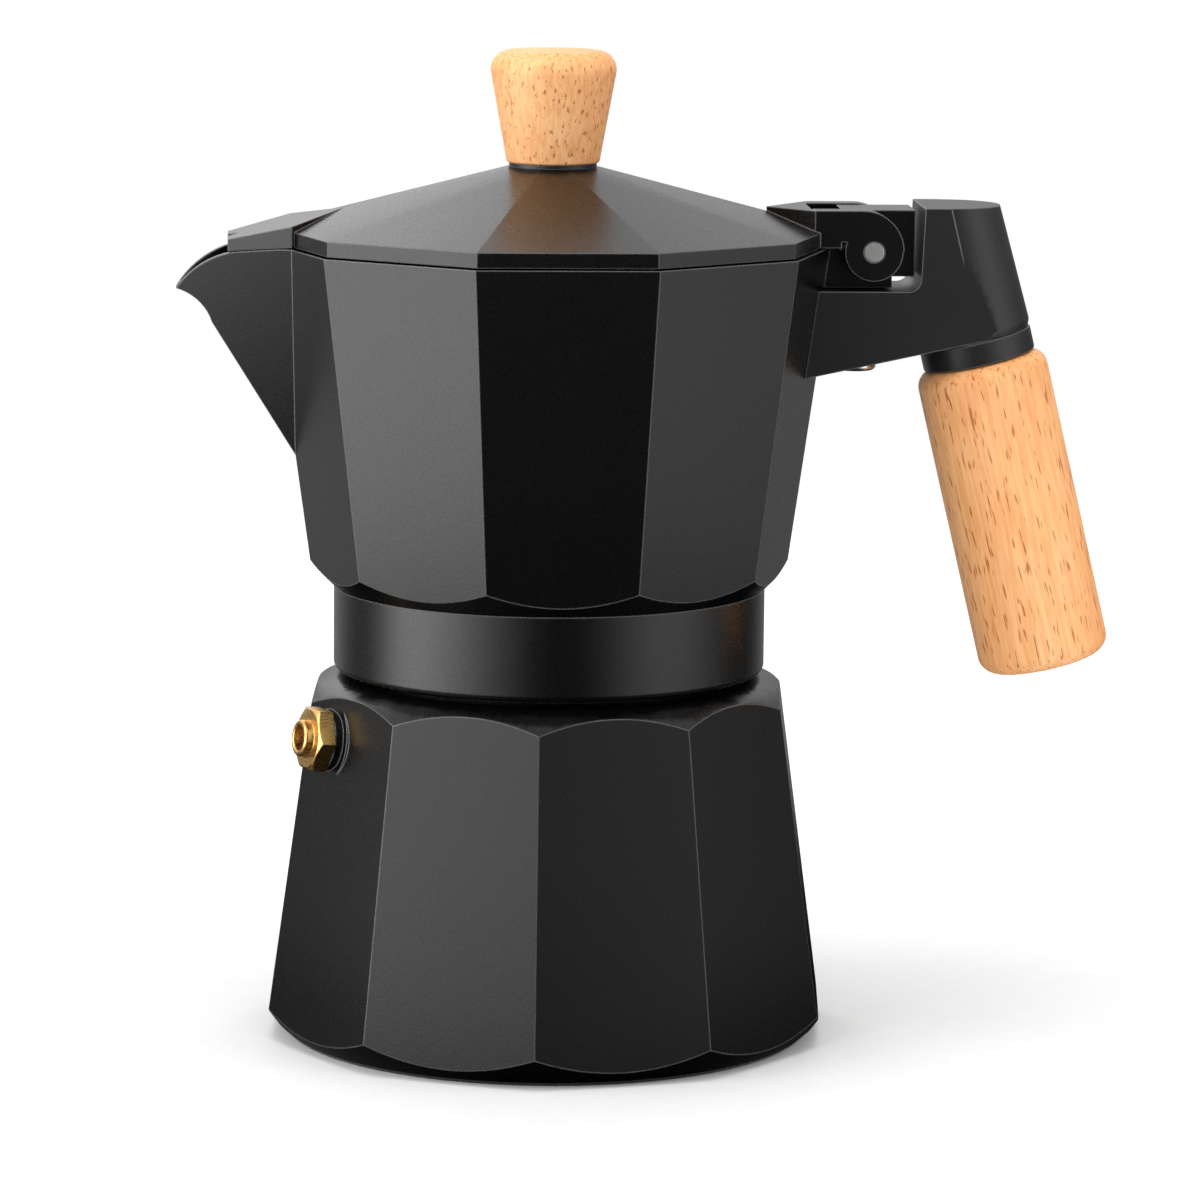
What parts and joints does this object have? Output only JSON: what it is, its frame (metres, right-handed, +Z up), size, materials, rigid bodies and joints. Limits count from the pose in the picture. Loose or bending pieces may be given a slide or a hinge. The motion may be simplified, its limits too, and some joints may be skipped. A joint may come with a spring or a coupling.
{
  "type": "moka pot",
  "caption": "Ten-sided stovetop coffee maker with screwed boiler and upper chamber, hinged lid, spout, wooden knob and wooden side handle.",
  "frame": {"origin": "centre of the boiler's foot, on the surface that it stands on", "axes": "+Z up along the pot's axis, +X towards the handle, -X towards the spout"},
  "size_m": [0.1507, 0.0924, 0.1589],
  "materials": {
    "black_coated_aluminium": "cast, with a fine matt black coating",
    "bare_aluminium": "drawn and satin",
    "brass": "turned",
    "steel": "turned",
    "gasket_rubber": "matt",
    "black_plastic": "moulded satin",
    "beech": "sanded, clear matt lacquer"
  },
  "bodies": {
    "boiler": {"boiler": "black_coated_aluminium", "safety_valve_body": "brass", "safety_valve_seat": "brass", "safety_valve_spring": "steel", "funnel_basket": "bare_aluminium", "funnel_tube": "bare_aluminium", "funnel_plate": "bare_aluminium"},
    "valve_poppet": {"safety_valve_poppet": "steel"},
    "seal": {"gasket": "gasket_rubber", "filter_plate": "bare_aluminium"},
    "collector": {"collector": "black_coated_aluminium", "hinge_pin": "steel", "handle_bracket": "black_plastic", "bracket_screw": "steel", "handle_insert": "brass", "handle_collar": "black_plastic", "handle_grip": "beech", "handle_bolt": "steel"},
    "lid": {"lid": "black_coated_aluminium", "knob_washer": "black_plastic", "knob": "beech", "knob_insert": "brass", "knob_screw": "steel"}
  },
  "joints": [
    {"name": "collector_lift", "type": "slide", "parent": "boiler", "child": "seal", "axis": [0, 0, 1], "range_m": [0, 0.0075]},
    {"name": "collector_turn", "type": "hinge", "parent": "seal", "child": "collector", "pos_m": [0, 0, 0], "axis": [0, 0, 1], "range_deg": [0, 900]},
    {"name": "lid_hinge", "type": "hinge", "parent": "collector", "child": "lid", "pos_m": [0.0508, 0, 0.12745], "axis": [0, 1, 0], "range_deg": [0, 95]},
    {"name": "safety_valve_lift", "type": "slide", "parent": "boiler", "child": "valve_poppet", "axis": [-0.921, -0.3665, 0.1323], "range_m": [0, 0.0015], "stiffness_N_per_m": 2000, "springref_m": -0.002, "deforming": ["safety_valve_spring"]}
  ],
  "couplings": [
    {"joint": "collector_lift", "follows": "collector_turn", "m_per_rad": 0.00047746}
  ]
}
